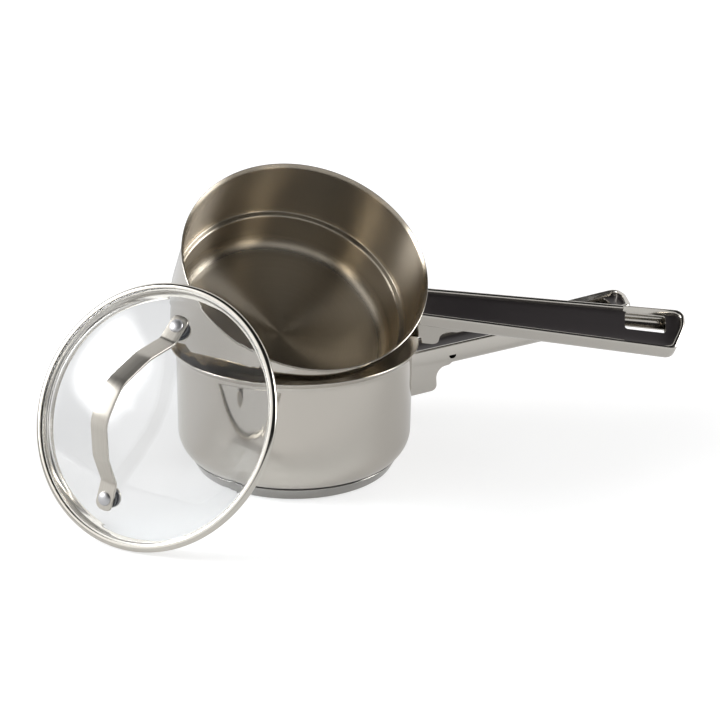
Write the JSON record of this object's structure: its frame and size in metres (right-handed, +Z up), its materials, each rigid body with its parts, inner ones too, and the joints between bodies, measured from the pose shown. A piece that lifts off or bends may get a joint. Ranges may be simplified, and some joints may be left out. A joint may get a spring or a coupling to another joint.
{
  "type": "double boiler",
  "caption": "Stainless steel double boiler: saucepan with thick base, stepped insert pan leaning in it, and domed glass lid with strap handle standing beside them.",
  "frame": {"origin": "centre of the saucepan's flat underside, where it stands", "axes": "+Z up; -Z leaves the underside; the two handles point to +X and the lid leans at the front, towards -Y"},
  "size_m": [0.4347, 0.2888, 0.2033],
  "materials": {
    "polished_steel": "mirror-polished stainless steel",
    "brushed_steel": "satin brushed stainless steel",
    "dark_satin_steel": "dark satin",
    "aluminium_core": "plain",
    "clear_glass": "clear tempered",
    "grey_silicone": "matt"
  },
  "bodies": {
    "saucepan": {"saucepan_body": "polished_steel", "saucepan_base_core": "aluminium_core", "saucepan_base_cap": "polished_steel", "saucepan_bracket": "polished_steel", "saucepan_handle_shell": "polished_steel", "saucepan_handle_top": "dark_satin_steel"},
    "insert": {"insert_body": "brushed_steel", "insert_bracket": "polished_steel", "insert_handle_shell": "polished_steel", "insert_handle_top": "dark_satin_steel"},
    "lid": {"lid_glass": "clear_glass", "lid_band": "polished_steel", "lid_handle": "brushed_steel", "lid_rivet_1": "polished_steel", "lid_rivet_2": "polished_steel", "lid_top_gasket_1": "grey_silicone", "lid_top_gasket_2": "grey_silicone", "lid_under_gasket_1": "grey_silicone", "lid_under_gasket_2": "grey_silicone", "lid_washer_1": "brushed_steel", "lid_washer_2": "brushed_steel"}
  },
  "joints": [
    {"name": "insert_lift", "type": "slide", "parent": "saucepan", "child": "insert", "axis": [0, 0, 1], "range_m": [0, 0.1]},
    {"name": "lid_away", "type": "slide", "parent": "insert", "child": "lid", "axis": [-0.3809, -0.7917, 0.4776], "range_m": [0, 0.1]}
  ]
}
